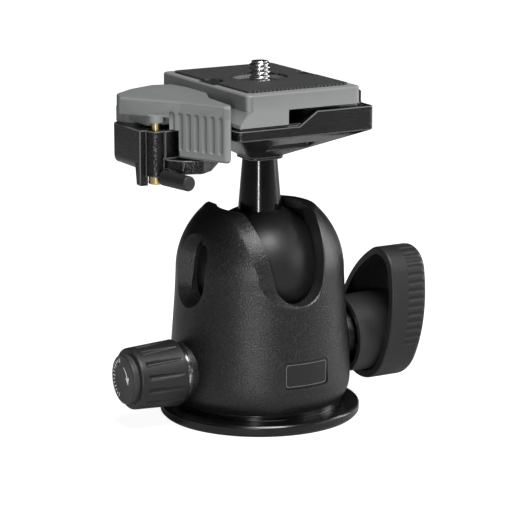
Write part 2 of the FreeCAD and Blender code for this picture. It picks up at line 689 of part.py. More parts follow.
def fixed_jaw():
    """Raised wall round the +X end, with a ramp down at the front and the back, and the tall fixed jaw."""
    side = [(-1.9, CL_RIM), (4.0, CL_HIGH), (CL_X1 - 0.5, CL_HIGH), (CL_X1, CL_HIGH - 0.5), (CL_X1, CL_RIM - 0.5),
            (-1.9, CL_RIM - 0.5)]
    wire = Part.makePolygon([V(x, -CL_Y, z) for x, z in side + side[:1]])
    wall = Part.Face(wire).extrude(V(0, 2 * CL_Y, 0))
    wall = wall.common(round_edges(box(CL_X0, CL_X1, -CL_Y, CL_Y, UNDER, OVER), CL_CORNER, V(0, 0, 1)))
    wall = wall.cut(box(-10.0, PL_FLARE + 0.25, -CL_WELL_Y, CL_WELL_Y, CL_FLOOR, OVER))
    lip = [(PL_FLARE + 0.25, HOOK_TOP), (PL_FLARE - 1.0, HOOK_TOP), (PL_FLARE - 1.0, CL_HIGH),
           (PL_FLARE + 0.25, CL_FLOOR + 0.9)]
    hook = Part.Face(Part.makePolygon([V(x, -HOOK_HALF_Y, z) for x, z in lip + lip[:1]]))
    hook = hook.extrude(V(0, 2 * HOOK_HALF_Y, 0))
    hook = hook.fuse(box(PL_FLARE + 0.2, CL_X1 - 0.6, -HOOK_HALF_Y, HOOK_HALF_Y, CL_HIGH - 1.0, HOOK_TOP))
    hook = hook.makeFillet(0.5, [e for e in hook.Edges if edge_at_z(HOOK_TOP)(e)])
    return wall.fuse(hook)


def plate_room():
    """Clear space over the casting for the lowest part of the plate."""
    return box(-30.0, -2.5, -2 * CL_Y, 2 * CL_Y, CL_FLOOR, OVER)


def extension():
    """Block on the -X side that carries the lever pivot, with a shelf below the grip and a fin at its corner."""
    front = EXT_Y0 - 7.0
    block = prism([(EXT_X, EXT_Y0), (EXT_X, EXT_Y1 - 6.0), (EXT_X + 6.0, EXT_Y1), (CL_X0 + 3.0, EXT_Y1 + 2.0),
                   (CL_X0 + 3.0, front), (SAFE[0] + 1.5, front), (SAFE[0] + 1.5, EXT_Y0)], EXT_LOW, EXT_TOP)
    block = block.makeFillet(3.0, [e for e in block.Edges if edge_at_z(EXT_LOW)(e) and edge_at_x(EXT_X)(e)])
    round_face = rod_z(EXT_ROUND, UNDER, OVER, PIVOT[0], PIVOT[1])
    block = block.common(round_face)
    block = block.fuse(box(CL_X0 - 0.5, CL_X0 + 4.0, EXT_Y0, EXT_Y1 + 2.0, CL_RIM - WEB_DEEP, CL_RIM))
    shelf = prism([(SAFE[0] + 0.5, EXT_Y0 + 6.0), (-37.4, -13.0), (-34.8, -16.8), (-29.4, -19.0), (-25.0, -16.0),
                   (-17.4, -6.4), (-15.0, EXT_Y0 + 6.0)], EXT_LOW, SHELF_TOP)
    shelf = round_edges(shelf, 1.8, V(0, 0, 1))
    shelf = shelf.cut(arm_rod(ARM_R + FREE, SAFE_BOSS_R, ARM_REACH + 1.0, ARM_Z))
    fin = box(EXT_X, EXT_X + FIN_T, EXT_Y0 - 1.9, EXT_Y0 + 0.6, FIN_LOW, EXT_TOP)
    fin = fin.makeFillet(0.8, [e for e in fin.Edges if edge_at_z(FIN_LOW)(e)])
    fin = fin.cut(rod_z(SAFE_HEAD_R + FREE, UNDER, SAFE_LOW, SAFE[0], SAFE[1]))
    boss = rod_z(SAFE_BOSS_R, SAFE_LOW, EXT_TOP, SAFE[0], SAFE[1])
    return block.fuse([shelf, fin, boss])


def make_pivot_pin():
    return rod_z(PIVOT_R, EXT_LOW + PIVOT_SEAT + SEAT, LEV_TOP - LEV_SKIN - SEAT, PIVOT[0], PIVOT[1])


# lever
def lever_outline():
    return [(-45.4, 2.0), (-42.6, 9.0), (-36.0, 14.0), (-27.0, 17.6), (-20.9, 16.0), (-19.25, 9.0), (-19.25, -3.0),
            (-23.0, -11.6), (-23.9, -25.6), GRIP_TIP, GRIP_BEND]


def make_lever():
    body = prism(lever_outline(), LEV_UNDER, LEV_TOP, 1.4)
    body = round_edges(body, 0.9, keep=edge_at_z(LEV_TOP))
    body = body.fuse(grip())
    body = body.cut(box(-22.0, -10.0, -2 * CL_Y, 2 * CL_Y, UNDER, PL_SLAB + 0.25))
    body = body.cut(grip_flutes())
    hub = rod_z(PIVOT_R + HUB_WALL, EXT_TOP + SEAT, LEV_UNDER + 0.5, PIVOT[0], PIVOT[1])
    catch = rod_z(SAFE_HEAD_R, SAFE_TOP + 0.1, LEV_UNDER + 0.5, SAFE[0], SAFE[1])
    body = body.fuse([hub, catch])
    return body.cut(rod_z(PIVOT_R + RUN, UNDER, LEV_TOP - LEV_SKIN, PIVOT[0], PIVOT[1]))


def grip():
    """Hollow finger grip that hangs down at the front of the lever and sweeps clear of the block."""
    face = [(-23.0, -11.0), (-23.9, -25.6), GRIP_TIP, GRIP_BEND]
    deep = prism(face + [(-35.1, -12.95)], GRIP_LOW, LEV_UNDER + 1.0, 1.2)
    deep = deep.makeFillet(0.8, [e for e in deep.Edges if edge_at_z(GRIP_LOW)(e)])
    deep = deep.cut(rod_z(GRIP_R, UNDER, LEV_UNDER + 2.0, PIVOT[0], PIVOT[1]))
    hollow = [(-22.9, -7.0), (-26.4, -13.0), (-26.2, -24.4), (-20.0, -24.4), (-20.0, -7.0)]
    deep = deep.cut(prism(hollow, UNDER, LEV_UNDER - GRIP_ROOF))
    step = prism(face + [(-36.6, -10.8)], GRIP_STEP_LOW, LEV_UNDER + 1.0, 0.6)
    step = step.cut(rod_z(GRIP_STEP_R, UNDER, LEV_UNDER + 2.0, PIVOT[0], PIVOT[1]))
    step = step.common(box(-40.0, -30.0, -20.0, 0.0, UNDER, OVER))
    return deep.fuse(step)


def grip_flutes():
    """Upright flutes with round ends in the outer face of the grip."""
    way = V(GRIP_BEND[0] - GRIP_TIP[0], GRIP_BEND[1] - GRIP_TIP[1], 0)
    way.normalize()
    side = V(-way.y, way.x, 0) * (FLUTE_R - 0.45)
    tools = []
    for n in range(FLUTE_COUNT):
        foot = V(GRIP_TIP[0], GRIP_TIP[1], 0) + way * (FLUTE_START + FLUTE_STEP * n) + side
        tool = rod_z(FLUTE_R, FLUTE_LOW, FLUTE_HIGH, foot.x, foot.y)
        for z in (FLUTE_LOW, FLUTE_HIGH):
            tool = tool.fuse(Part.makeSphere(FLUTE_R, V(foot.x, foot.y, z)))
        tools.append(tool)
    return Part.makeCompound(tools)


def make_lever_jaw():
    """Cam under the lever: its round grips the flared edge of the plate and eases off as it turns."""
    reach = -PL_FLARE - 0.12 - PIVOT[0]
    ease = rod_z(reach - 0.5, EXT_TOP + 0.9, LEV_UNDER - SEAT, PIVOT[0] + 0.2, PIVOT[1] - 0.5)
    straight = box(PIVOT[0], PIVOT[0] + reach, PIVOT[1] - 16.0, PIVOT[1], EXT_TOP + 0.9, LEV_UNDER - SEAT)
    straight = straight.common(rod_z(reach + 1.3, UNDER, OVER, PIVOT[0], PIVOT[1]))
    body = ease.fuse(straight)
    body = body.cut(box(-60.0, PIVOT[0] - 3.0, -40.0, 40.0, UNDER, OVER))
    body = body.common(prism(lever_outline(), UNDER, OVER, 1.4))
    return body.cut(rod_z(PIVOT_R + HUB_WALL + SEAT, UNDER, OVER, PIVOT[0], PIVOT[1]))


def make_safety_pin():
    """Brass pin through the boss, its head below it with a cross hole for the arm."""
    body = rod_z(SAFE_R, SAFE_LOW - 1.0, SAFE_TOP, SAFE[0], SAFE[1])
    head = rod_z(SAFE_HEAD_R, SAFE_LOW - 2.2, SAFE_LOW - SEAT, SAFE[0], SAFE[1])
    head = head.makeFillet(0.3, [e for e in head.Edges if edge_at_z(SAFE_LOW - 2.2)(e)])
    return body.fuse(head).cut(arm_rod(ARM_SPIGOT_R + SEAT, -5.0, 5.0, SAFE_LOW - 1.15))


def arm_rod(r, near, far, z):
    """Level rod of the safety arm between two distances from the pin."""
    start = V(SAFE[0], SAFE[1], z) + ARM_WAY * near
    return Part.makeCylinder(r, far - near, start, ARM_WAY)


def make_safety_arm():
    body = arm_rod(ARM_R, SAFE_BOSS_R + 0.8, ARM_REACH, ARM_Z)
    body = body.makeFillet(0.5, [e for e in body.Edges if len(e.Vertexes) == 1])
    return body.fuse(arm_rod(ARM_SPIGOT_R, -1.6, SAFE_BOSS_R + 1.2, SAFE_LOW - 1.15))


def make_trigger_pin():
    body = rod_z(TRIG_R, CL_RIM - TRIG_LONG, CL_FLOOR, TRIG[0], TRIG[1])
    return body.makeFillet(0.4, [e for e in body.Edges if edge_at_z(CL_FLOOR)(e)])


def make_trigger_spring():
    z0 = CL_RIM - TRIG_DEEP + SEAT
    spring = coil(1.1, 0.25, CL_RIM - TRIG_LONG - SEAT - z0, 2.0)
    spring.translate(V(TRIG[0], TRIG[1], z0))
    return spring


# plate
def make_plate_body():
    slab = round_edges(box(-PL_HALF_X, PL_HALF_X, -PL_HALF_Y, PL_HALF_Y, PL_SLAB, PL_TOP), 2.0, V(0, 0, 1))
    slab = round_edges(slab, 0.6, keep=edge_at_z(PL_TOP))
    body = slab.fuse(flare(-1, -PL_HALF_Y, PL_HALF_Y, PLATE_WEB))
    body = body.fuse(flare(1, FREE * 2 - CL_WELL_Y, CL_WELL_Y - FREE * 2, PLATE_WEB))
    for y0 in (-PL_HALF_Y, PL_HALF_Y - 5.0):
        body = body.fuse(box(-16.0, -5.4, y0, y0 + 5.0, PL_LOW, PL_SLAB + 0.5))
    body = body.cut(rod_z(PAD_HOLE_R, PL_TOP - PAD_WELL, PL_TOP + 1.0))
    return body.cut(rod_z(CAM_SCREW_R + FREE, UNDER, OVER))


def flare(side, y0, y1, wide):
    pts = [(side * PL_FLARE, PL_LOW), (side * (PL_FLARE - 0.1), PL_LOW + 0.9), (side * PL_HALF_X, PL_SLAB + 0.2),
           (side * (PL_FLARE - wide), PL_SLAB + 0.2), (side * (PL_FLARE - wide), PL_LOW)]
    wire = Part.makePolygon([V(x, y0, z) for x, z in pts + pts[:1]])
    return Part.Face(wire).extrude(V(0, y1 - y0, 0))


def make_plate_pad():
    body = round_edges(box(-PAD_X, PAD_X, -PAD_Y, PAD_Y, PL_TOP, PAD_TOP), 1.5, V(0, 0, 1))
    for side in (-1, 1):
        body = body.cut(rod_z(PAD_BITE_R, UNDER, OVER, side * (PAD_X + 0.6), 0.0))
    return body.cut(rod_z(PAD_HOLE_R, UNDER, OVER))


def make_camera_screw():
    body = rod_z(CAM_SCREW_R, PL_SLAB - 1.0, CAM_SCREW_TOP)
    body = body.makeChamfer(0.6, [e for e in body.Edges if edge_at_z(CAM_SCREW_TOP)(e)])
    body = body.fuse(rod_z(CAM_HEAD_R, PL_SLAB - CAM_HEAD_T, PL_SLAB - SEAT))
    body = body.cut(box(-0.7, 0.7, -8.0, 8.0, PL_SLAB - 4.0, PL_SLAB - 1.6))
    groove = rod_z(CAM_SCREW_R + 1.0, CLIP_Z - SEAT, CLIP_Z + CLIP_T + SEAT)
    return body.cut(groove.cut(rod_z(CAM_SCREW_R - CLIP_GROOVE, UNDER, OVER)))


def make_screw_clip():
    body = rod_z(CAM_SCREW_R + 1.6, CLIP_Z, CLIP_Z + CLIP_T)
    body = body.cut(rod_z(CAM_SCREW_R - CLIP_GROOVE + SEAT, UNDER, OVER))
    return body.cut(box(-1.2, 1.2, 0.0, 8.0, UNDER, OVER))


def make_screw_ring():
    """Folding ring of the camera screw, lying flat under its head."""
    z = PL_SLAB - CAM_HEAD_T - RING_WIRE_R - SEAT
    ring = Part.makeTorus(RING_R, RING_WIRE_R, V(0, 0, z), V(0, 0, 1))
    bar = rod_x(0.6, 0.2 - RING_R, RING_R - 0.2, z)
    return ring.fuse(bar)


PIECES = [
    ("housing", make_housing), ("base_disc", make_base_disc), ("tripod_bush", make_tripod_bush),
    ("base_screws", make_base_screws), ("label_plate", make_label_plate), ("upper_seat", make_upper_seat),
    ("lock_bushing", make_lock_bushing), ("friction_bushing", make_friction_bushing),
    ("friction_washer", make_friction_washer), ("lock_wedge", make_lock_wedge),
    ("pressure_cup", make_pressure_cup), ("lock_shaft", make_lock_shaft), ("lock_clip", make_lock_clip),
    ("lock_knob", make_lock_knob), ("lock_cap", make_lock_cap), ("friction_knob", make_friction_knob),
    ("friction_cap", make_friction_cap), ("friction_screw", make_friction_screw),
    ("friction_plunger", make_friction_plunger), ("friction_spring", make_friction_spring),
    ("ball_liner", make_ball_liner), ("stem_stud", make_stem_stud), ("stud_nut", make_stud_nut),
    ("ball", make_ball), ("stem", make_stem), ("clamp_base", make_clamp_base), ("pivot_pin", make_pivot_pin),
    ("lever", make_lever), ("lever_jaw", make_lever_jaw), ("safety_pin", make_safety_pin),
    ("safety_arm", make_safety_arm), ("trigger_pin", make_trigger_pin), ("trigger_spring", make_trigger_spring),
    ("plate_body", make_plate_body), ("plate_pad", make_plate_pad), ("camera_screw", make_camera_screw),
    ("screw_clip", make_screw_clip), ("screw_ring", make_screw_ring),
]

for piece_name, make in PIECES:
    shape = make()
    print(piece_name, len(shape.Solids), round(shape.Volume, 1), shape.isValid())
    out(shape, piece_name)
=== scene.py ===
import bpy
import bmesh
import math
from mathutils import Matrix, Vector


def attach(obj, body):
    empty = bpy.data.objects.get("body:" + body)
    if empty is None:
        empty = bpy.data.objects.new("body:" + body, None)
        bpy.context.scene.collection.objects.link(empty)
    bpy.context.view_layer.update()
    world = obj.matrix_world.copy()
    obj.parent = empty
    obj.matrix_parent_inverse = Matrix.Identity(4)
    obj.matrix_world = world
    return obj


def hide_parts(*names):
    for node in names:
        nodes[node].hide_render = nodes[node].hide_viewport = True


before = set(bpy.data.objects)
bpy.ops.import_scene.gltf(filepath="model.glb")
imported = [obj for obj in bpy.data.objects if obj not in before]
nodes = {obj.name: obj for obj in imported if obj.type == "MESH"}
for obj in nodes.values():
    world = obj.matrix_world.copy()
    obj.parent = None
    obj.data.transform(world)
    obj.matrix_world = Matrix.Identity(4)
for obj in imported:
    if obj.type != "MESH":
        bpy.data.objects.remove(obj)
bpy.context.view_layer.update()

# sizes of the pieces made here are in millimetres, with their places in the part's own frame
MM = 0.001
SAME_SPOT = 0.001
SAME_SPOT_CUT = 0.002
CREASE = 35.0
FLAT = 0.4

# threads: sides of the round, rows in one pitch, and the shape of a tooth
THREAD_SIDES = 48
THREAD_ROWS = 10
TOOTH_FOOT = 0.15
TOOTH_FLANK = 0.6

# camera screw, 1/4 inch with 20 threads to the inch; its head below the cut is the CAD one
CAMERA_PITCH = 1.27
CAMERA_ROOT_R = 2.43
CAMERA_CREST_R = 3.155
CAMERA_CUT_Z = 100.6
CAMERA_TOP_Z = 106.4
CAMERA_SINK = 0.25
CAMERA_FADE_Z = CAMERA_CUT_Z - 0.3
CAMERA_FADE_IN = 0.5
CAMERA_FADE_OUT = 0.9
CAMERA_CREASE = 50.0

# tripod bush, 3/8 inch with 16 threads to the inch
BUSH_PITCH = 1.5875
BUSH_CORE_R = 4.0
BUSH_ROOT_R = 4.7
BUSH_WALL_R = 6.0
BUSH_FLANGE_R = 6.9
BUSH_FLANGE_T = 0.4
BUSH_LOW = 0.0
BUSH_TOP = 9.4

# notch in the housing, and the bevelled strips beside it
NOTCH_R = 7.9
NOTCH_Z = 45.3
NOTCH_LEAN = math.radians(9.5)
NOTCH_RISE = 20.0
NOTCH_PAST_MIDDLE = 0.05
NOTCH_ROUND_STEPS = 24
NOTCH_RISE_STEPS = 16
DOME_R = 25.2
DOME_Z = 44.0
DOME_LEAST_Y = 2.0
STRIP_WIDE = 4.4
STRIP_DEEP = 1.2
STRIP_GROWTH = 1.5
STRIP_CREASE = 30.0
EDGE_WIDE = 0.4
CUT_INTO_SLOT = 0.3
CUT_CLEAR = 0.02
CUT_OUTSIDE = 4.0

# friction knob: a tapering grip along X with grooves that run out towards the housing
GRIP_Z = 15.6
GRIP_X0 = -44.2
GRIP_X1 = -29.0
GRIP_R0 = 9.1
GRIP_R1 = 9.9
GRIP_EDGE_R = 0.6
GRIP_EDGE_STEPS = 6
GRIP_FRONT_GAP = 1.0
GRIP_BACK_GAP = 0.8
GRIP_ROW = 0.22
GRIP_COLLAR_R = 5.8
GRIP_FLANK_R = 7.0
GRIP_COLLAR_DEEP = 1.0
GRIP_BORE_R = 2.52
GRIP_BORE_END = 3.0
GROOVES = 14
GROOVE_SIDES = 20
GROOVE_X0 = -41.9
GROOVE_X1 = -30.6
GROOVE_MEAN_R = 9.5
GROOVE_HALF_WIDE = 0.85
GROOVE_NARROWING = 0.45
GROOVE_DEEP = 0.95
GROOVE_SHALLOWING = 0.75
GROOVE_BLUNT = 0.05

# marks on the face of the friction cap
CAP_X = -46.1
MARK_SUNK = 0.05
MARK_PROUD = 0.04
ARROW_Y = -0.55
ARROW_Z = 3.7
ARROW_ACROSS = 2.1
ARROW_DOWN = 2.7
ARROW_BOW = 0.5
ARROW_HALF_Y = 0.24
ARROW_HALF_Z = 0.1
ARROW_STEPS = 4
ARROW_HEAD = [(-3.3, -0.9), (-1.75, 0.9), (-3.75, 1.35)]
TICKS = 13
TICK_FIRST = 22.0
TICK_APART = 11.0
TICK_IN_R = 5.1
TICK_OUT_R = 6.3
TICK_HALF_WIDE = 0.13
TICK_LONG_EACH = 3
TICK_SHORTER = 0.45

# thin light line round the bare label, a painted highlight of the edge of its recess
LABEL_X = 0.9
LABEL_Z = 17.3
LABEL_HALF_X = 6.9
LABEL_HALF_Z = 3.35
LABEL_CORNER = 0.8
LABEL_CORNER_STEPS = 6
LABEL_FACE_R = 26.7
LINE_WIDE = 0.16
LINE_SUNK = 0.05
LINE_PROUD = 0.03
LINE_STEP = 0.5

# recesses of the plate's pad
WELL_Z = 99.52
WELL_R = 8.15
WELL_IN_R = 4.95
WELL_OUT_T = 0.5
WELL_IN_T = 0.35
PLATE_TOP = 101.1
PLATE_EDGE = 18.0
BITE_X = 17.3
BITE_R = 4.45
BITE_T = 0.12
BITE_SIDES = 40

# rounding of the crisp edges
CLAMP_EDGE = 0.3
BASE_EDGE = 0.2
EDGE_SEGMENTS = 2

# camera fitted to the photograph: distance and height in metres, focal length and image side in pixels
CAM_DISTANCE = 0.750
CAM_HEIGHT = 0.2188
CAM_FOCAL = 2577.0
CAM_PITCH = math.radians(12.86)
CAM_AZIMUTH = math.radians(-29.75)
CAM_YAW = math.radians(-0.085)
IMAGE_SIDE = 512.0
SENSOR = 36.0
CLIP_NEAR = 0.01
CLIP_FAR = 20.0

# finishes: the scale of a grain is in cells per metre, and depths and the pitch of the ribs are in metres
RIB_PITCH = 0.0013
RIB_DEPTH = 0.00025
FINE_DEPTH = 0.00003
MOULD_DEPTH = 0.00004
GRAIN_LOW = 0.3
GRAIN_HIGH = 0.7
# pointiness where the painted edge highlight begins and where it is full
CREST_FROM = 0.50
CREST_FULL = 0.56

# studio, in metres and watts
FLOOR_HALF = 6.0
FLOOR_GLOW = 0.88
FLOOR_LIGHT = 0.05
SKY_COLOUR = (0.80, 0.82, 0.85, 1)
SKY_STRENGTH = 0.015
WHITE = (1, 1, 1, 1)
# name, place, aim, width, height, power
LIGHTS = [
    ("main", (-0.06, -0.42, 0.87), (0, 0, 0.06), 0.42, 0.42, 10.0),
    ("front", (-0.66, -0.90, 0.12), (0, 0, 0.07), 0.07, 0.4, 4.5),
    ("right", (0.85, -0.10, 0.30), (0, 0, 0.05), 0.25, 0.6, 4.0),
    ("right_front", (0.85, -0.75, 0.40), (0, 0, 0.06), 0.55, 0.5, 2.6),
]


def add_camera():
    """The photograph's viewpoint, looking along its pitch with a slight turn sideways."""
    camera = bpy.data.objects.new("photo_camera", bpy.data.cameras.new("photo_camera"))
    bpy.context.scene.collection.objects.link(camera)
    east, north = math.sin(CAM_AZIMUTH), math.cos(CAM_AZIMUTH)
    ahead = Vector((-east, north, 0))
    side = Vector((north, east, 0))
    level = ahead * math.cos(CAM_YAW) + side * math.sin(CAM_YAW)
    right = side * math.cos(CAM_YAW) - ahead * math.sin(CAM_YAW)
    up = Vector((0, 0, 1))
    look = level * math.cos(CAM_PITCH) - up * math.sin(CAM_PITCH)
    top = up * math.cos(CAM_PITCH) + level * math.sin(CAM_PITCH)
    pose = Matrix((right, top, -look)).transposed().to_4x4()
    pose.translation = Vector((CAM_DISTANCE * east, -CAM_DISTANCE * north, CAM_HEIGHT))
    camera.matrix_world = pose
    camera.data.sensor_width = SENSOR
    camera.data.lens = CAM_FOCAL / IMAGE_SIDE * SENSOR
    camera.data.clip_start = CLIP_NEAR
    camera.data.clip_end = CLIP_FAR
    bpy.context.scene.camera = camera


add_camera()


# effects that several finishes share
def new_group(name, inputs, output, kind):
    """Empty node group with its named sockets: inputs are (name, kind, value)."""
    tree = bpy.data.node_groups.new(name, "ShaderNodeTree")
    for label, socket_kind, value in inputs:
        socket = tree.interface.new_socket(label, in_out="INPUT", socket_type="NodeSocket" + socket_kind)
        socket.default_value = value
    tree.interface.new_socket(output, in_out="OUTPUT", socket_type="NodeSocket" + kind)
    return tree, tree.nodes.new("NodeGroupInput").outputs, tree.nodes.new("NodeGroupOutput").inputs


def grain_group():
    """Noise fixed to the object, which may be drawn out along an axis."""
    inputs = [("Scale", "Float", 1000.0), ("Detail", "Float", 3.0), ("Roughness", "Float", 0.55),
              ("Stretch", "Vector", (1, 1, 1))]
    tree, given, result = new_group("surface_grain", inputs, "Height", "Float")
    coordinates = tree.nodes.new("ShaderNodeTexCoord")
    mapping = tree.nodes.new("ShaderNodeMapping")
    noise = tree.nodes.new("ShaderNodeTexNoise")
    tree.links.new(coordinates.outputs["Object"], mapping.inputs["Vector"])
    tree.links.new(given["Stretch"], mapping.inputs["Scale"])
    tree.links.new(mapping.outputs["Vector"], noise.inputs["Vector"])
    for label in ("Scale", "Detail", "Roughness"):
        tree.links.new(given[label], noise.inputs[label])
    tree.links.new(noise.outputs["Fac"], result["Height"])


def sheen_group():
    """Roughness that wanders with a grain between a smooth and a rough value."""
    inputs = [("Grain", "Float", 0.5), ("Smooth", "Float", 0.3), ("Rough", "Float", 0.4)]
    tree, given, result = new_group("uneven_sheen", inputs, "Roughness", "Float")
    spread = tree.nodes.new("ShaderNodeMapRange")
    spread.inputs["From Min"].default_value = GRAIN_LOW
    spread.inputs["From Max"].default_value = GRAIN_HIGH
    tree.links.new(given["Grain"], spread.inputs["Value"])
    tree.links.new(given["Smooth"], spread.inputs["To Min"])
    tree.links.new(given["Rough"], spread.inputs["To Max"])
    tree.links.new(spread.outputs["Result"], result["Roughness"])


def edge_highlight_group():
    """Crests of the shape a little lighter than its flats: a painted highlight on the edges."""
    inputs = [("Coat", "Color", (0, 0, 0, 1)), ("Worn", "Color", WHITE), ("Amount", "Float", 0.5)]
    tree, given, result = new_group("painted_edge_highlight", inputs, "Colour", "Color")
    shape = tree.nodes.new("ShaderNodeNewGeometry")
    crest = tree.nodes.new("ShaderNodeMapRange")
    crest.inputs["From Min"].default_value = CREST_FROM
    crest.inputs["From Max"].default_value = CREST_FULL
    share = tree.nodes.new("ShaderNodeMath")
    share.operation = "MULTIPLY"
    mix = tree.nodes.new("ShaderNodeMixRGB")
    tree.links.new(shape.outputs["Pointiness"], crest.inputs["Value"])
    tree.links.new(crest.outputs["Result"], share.inputs[0])
    tree.links.new(given["Amount"], share.inputs[1])
    tree.links.new(share.outputs[0], mix.inputs["Fac"])
    tree.links.new(given["Coat"], mix.inputs["Color1"])
    tree.links.new(given["Worn"], mix.inputs["Color2"])
    tree.links.new(mix.outputs["Color"], result["Colour"])


grain_group()
sheen_group()
edge_highlight_group()


# materials
class Finish:
    """A material while it is put together: it makes shader nodes and joins them."""

    def __init__(self, name):
        self.material = bpy.data.materials.new(name)
        self.material.use_nodes = True
        self.tree = self.material.node_tree
        self.shader = self.tree.nodes["Principled BSDF"]

    def node(self, kind, **settings):
        made = self.tree.nodes.new(kind)
        for label, value in settings.items():
            setattr(made, label, value)
        return made

    def join(self, source, target):
        self.tree.links.new(source, target)

    def effect(self, name, **values):
        """One of the shared groups; a value is a number, a colour or another node's output."""
        made = self.node("ShaderNodeGroup", node_tree=bpy.data.node_groups[name])
        for label, value in values.items():
            if isinstance(value, bpy.types.NodeSocket):
                self.join(value, made.inputs[label])
            else:
                made.inputs[label].default_value = value
        return made.outputs[0]

    def grain(self, scale, detail=3.0, rough=0.55, stretch=(1, 1, 1)):
        return self.effect("surface_grain", Scale=scale, Detail=detail, Roughness=rough, Stretch=stretch)

    def sheen(self, grain, smooth, rough):
        self.join(self.effect("uneven_sheen", Grain=grain, Smooth=smooth, Rough=rough),
                  self.shader.inputs["Roughness"])

    # lighter colour on the crests of the shape: a painted highlight on the edges
    def paint_edge_highlight(self, coat, edge_highlight, amount):
        return self.effect("painted_edge_highlight", Coat=coat, Worn=(*edge_highlight, 1), Amount=amount)

    def ramp(self, value, *stops):
        """Grey or coloured steps over a value: stops are (position, grey or colour)."""
        made = self.node("ShaderNodeValToRGB")
        steps = made.color_ramp.elements
        while len(steps) < len(stops):
            steps.new(0.5)
        for step, (position, tone) in zip(steps, stops):
            step.position = position
            step.color = (tone, tone, tone, 1) if isinstance(tone, float) else (*tone, 1)
        self.join(value, made.inputs[0])
        return made.outputs[0]

    def bump(self, height, strength, depth, after=None):
        """Relief from a height, on top of another bump's normal where one is given."""
        made = self.node("ShaderNodeBump")
        made.inputs["Strength"].default_value = strength
        made.inputs["Distance"].default_value = depth
        self.join(height, made.inputs["Height"])
        if after is not None:
            self.join(after, made.inputs["Normal"])
        return made.outputs[0]

    def colour(self, source):
        self.join(source, self.shader.inputs["Base Color"])

    def normal(self, source):
        self.join(source, self.shader.inputs["Normal"])


def powder_coat(name, tone=0.009, rough=0.33, grain=2600.0, depth=0.00011, strength=1.0):
    """Black powder coat: fine orange peel, a random mottle whose lightest specks are painted glints, a
    painted highlight on its crests and a broad uneven sheen.
    """
    coat = Finish(name)
    glint_noise = coat.grain(grain, detail=1.0, rough=0.5)
    # random mottle in the coat's tone; the lightest step stands in for glints and is painted light
    mottle_and_painted_glints = coat.ramp(glint_noise, (0.40, tone * 0.6), (0.60, tone * 1.4), (0.72, tone * 4.0))
    # lighter crests: a painted highlight on the edges
    coat.colour(coat.paint_edge_highlight(mottle_and_painted_glints, edge_highlight=(tone * 4, tone * 4, tone * 4.2), amount=0.35))
    coat.sheen(coat.grain(60.0, detail=2.0), rough - 0.05, rough + 0.06)
    coat.normal(coat.bump(coat.grain(grain, detail=2.0, rough=0.6), strength, depth))
    return coat.material


def smooth_black(name, tone, rough):
    """Smooth black finish with faint upright streaks."""
    coat = Finish(name)
    streak = coat.grain(900.0, detail=2.0, rough=0.5, stretch=(1, 1, 6))
    coat.colour(coat.ramp(streak, (GRAIN_LOW, tone), (GRAIN_HIGH, tone * 1.8)))
    coat.sheen(coat.grain(140.0), rough - 0.03, rough + 0.05)
    coat.normal(coat.bump(streak, strength=0.06, depth=FINE_DEPTH))
    return coat.material


def metal(name, tint, rough):
    """Bare metal with a fine grain."""
    coat = Finish(name)
    grain = coat.grain(700.0, rough=0.5)
    darker = tuple(channel * 0.82 for channel in tint)
    coat.colour(coat.ramp(grain, (GRAIN_LOW, darker), (GRAIN_HIGH, tint)))
    coat.sheen(grain, rough - 0.05, rough + 0.08)
    coat.normal(coat.bump(grain, strength=0.15, depth=FINE_DEPTH))
    coat.shader.inputs["Metallic"].default_value = 1.0
    return coat.material


def plastic(name, tone, rough, grain=2400.0, strength=0.25):
    """Moulded plastic with a fine matt grain, and a painted highlight on its crests."""
    coat = Finish(name)
    fine = coat.grain(grain, detail=2.0)
    mottled = coat.ramp(fine, (GRAIN_LOW, tone * 0.85), (0.75, tone * 1.2))
    # lighter crests: a painted highlight on the edges
    coat.colour(coat.paint_edge_highlight(mottled, edge_highlight=(tone * 3, tone * 3, tone * 3), amount=0.3))
    coat.sheen(coat.grain(90.0), rough - 0.06, rough + 0.06)
    coat.normal(coat.bump(fine, strength, depth=MOULD_DEPTH))
    return coat.material


def grey_paint(name, tone, rough):
    """Matt grey paint, broadly uneven, with a painted highlight that makes the edges lighter."""
    coat = Finish(name)
    fine = coat.grain(1600.0, detail=2.0)
    darker = tuple(channel * 0.93 for channel in tone)
    lighter = tuple(channel * 1.05 for channel in tone)
    patchy = coat.ramp(coat.grain(45.0, detail=2.0), (GRAIN_LOW, darker), (GRAIN_HIGH, lighter))
    # lighter edges: a painted highlight
    coat.colour(coat.paint_edge_highlight(patchy, edge_highlight=tuple(channel * 1.7 for channel in tone), amount=0.5))
    coat.sheen(fine, rough - 0.04, rough + 0.06)
    coat.normal(coat.bump(fine, strength=0.2, depth=FINE_DEPTH))
    return coat.material


def ribbed_rubber(name):
    """Black rubber with close slanting ribs."""
    coat = Finish(name)
    axes = coat.node("ShaderNodeSeparateXYZ")
    coat.join(coat.node("ShaderNodeTexCoord").outputs["Object"], axes.inputs[0])
    along = coat.node("ShaderNodeMath", operation="ADD")
    coat.join(axes.outputs["X"], along.inputs[0])
    coat.join(axes.outputs["Y"], along.inputs[1])
    turns = coat.node("ShaderNodeMath", operation="MULTIPLY")
    turns.inputs[1].default_value = 2 * math.pi / RIB_PITCH
    coat.join(along.outputs[0], turns.inputs[0])
    wave = coat.node("ShaderNodeMath", operation="SINE")
    coat.join(turns.outputs[0], wave.inputs[0])
    rib = coat.node("ShaderNodeMath", operation="MULTIPLY_ADD")
    rib.inputs[1].default_value = 0.5
    rib.inputs[2].default_value = 0.5
    coat.join(wave.outputs[0], rib.inputs[0])
    coat.colour(coat.ramp(rib.outputs[0], (0.2, 0.003), (0.8, 0.07)))
    ribs = coat.bump(rib.outputs[0], strength=0.9, depth=RIB_DEPTH)
    coat.normal(coat.bump(coat.grain(3000.0), strength=0.2, depth=MOULD_DEPTH, after=ribs))
    coat.shader.inputs["Roughness"].default_value = 0.6
    return coat.material


